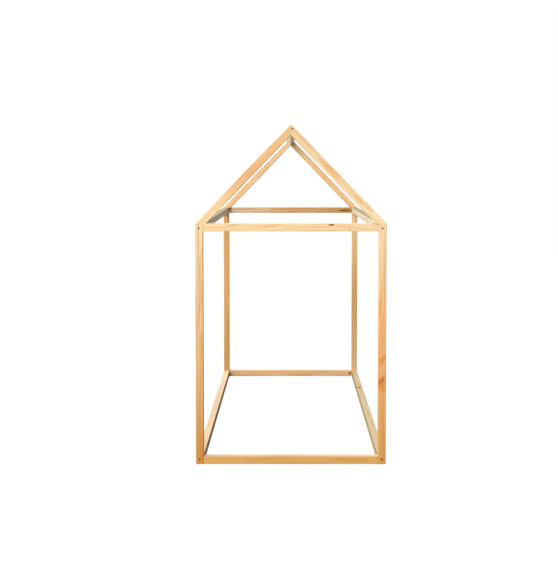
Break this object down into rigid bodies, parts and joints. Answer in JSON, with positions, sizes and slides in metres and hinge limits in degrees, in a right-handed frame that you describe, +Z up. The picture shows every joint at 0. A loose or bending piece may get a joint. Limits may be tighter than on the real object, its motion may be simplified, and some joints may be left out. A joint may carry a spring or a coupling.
{
  "type": "house frame bed",
  "caption": "Floor bed frame in the outline of a house: square softwood posts, rails, mitred rafters and a ridge beam on its corner, screwed round a single mattress.",
  "frame": {"origin": "on the floor, under the middle of the bed", "axes": "+Z up, front end towards -Y, ridge along Y, +X to the right seen from the front"},
  "size_m": [0.98, 2.08, 1.7524],
  "materials": {
    "pine": "planed and clear-oiled, satin",
    "screw_steel": "black-burnished steel",
    "beech": "planed or turned, raw"
  },
  "bodies": {
    "root": {"front_left_post": "pine", "front_right_post": "pine", "rear_left_post": "pine", "rear_right_post": "pine", "front_bottom_rail": "pine", "rear_bottom_rail": "pine", "left_bottom_rail": "pine", "right_bottom_rail": "pine", "front_top_rail": "pine", "rear_top_rail": "pine", "left_eave_rail": "pine", "right_eave_rail": "pine", "front_left_rafter": "pine", "front_right_rafter": "pine", "rear_left_rafter": "pine", "rear_right_rafter": "pine", "ridge_beam": "pine", "side_rail_screws_front": "screw_steel", "side_rail_screws_rear": "screw_steel", "ridge_screws": "screw_steel", "ridge_dowels": "beech", "apex_tongues": "beech", "rafter_foot_tongues": "beech"}
  },
  "joints": []
}
